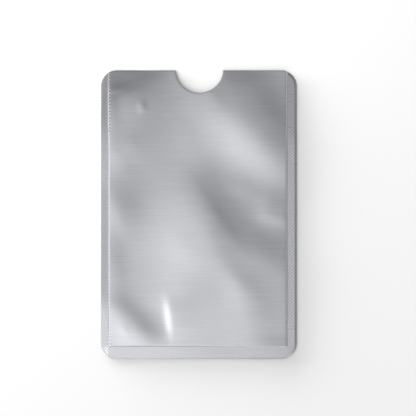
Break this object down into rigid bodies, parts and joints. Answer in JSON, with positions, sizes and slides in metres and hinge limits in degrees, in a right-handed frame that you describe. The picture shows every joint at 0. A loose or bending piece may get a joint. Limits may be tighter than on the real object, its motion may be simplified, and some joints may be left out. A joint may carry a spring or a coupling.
{
  "type": "rfid card sleeve",
  "caption": "Flat open-topped sleeve of brushed silver aluminium laminate, heat-sealed on its sides and bottom, with a round thumb notch at the mouth, for a bank card.",
  "frame": {"origin": "middle of the face that the sleeve lies on, under the middle of its outline", "axes": "+Y up the sleeve towards its mouth, +X to the right seen from the front, +Z out of the front wall; the sleeve lies on its back"},
  "size_m": [0.062, 0.0914, 0.0021],
  "materials": {
    "brushed_film": "silver metallised film with fine brushed lines across the sleeve",
    "aluminium_foil": "bright soft foil, seen only as a cut edge",
    "sealant_liner": "clear satin film that the foil shines through",
    "heat_seal": "the same film melted into one strip"
  },
  "bodies": {
    "root": {"back_outer_film": "brushed_film", "back_foil": "aluminium_foil", "back_liner": "sealant_liner", "left_seal": "heat_seal", "right_seal": "heat_seal", "bottom_seal": "heat_seal", "front_liner": "sealant_liner", "front_liner_left_rise": "sealant_liner", "front_liner_right_rise": "sealant_liner", "front_liner_bottom_rise": "sealant_liner", "front_foil": "aluminium_foil", "front_outer_film": "brushed_film"}
  },
  "joints": []
}
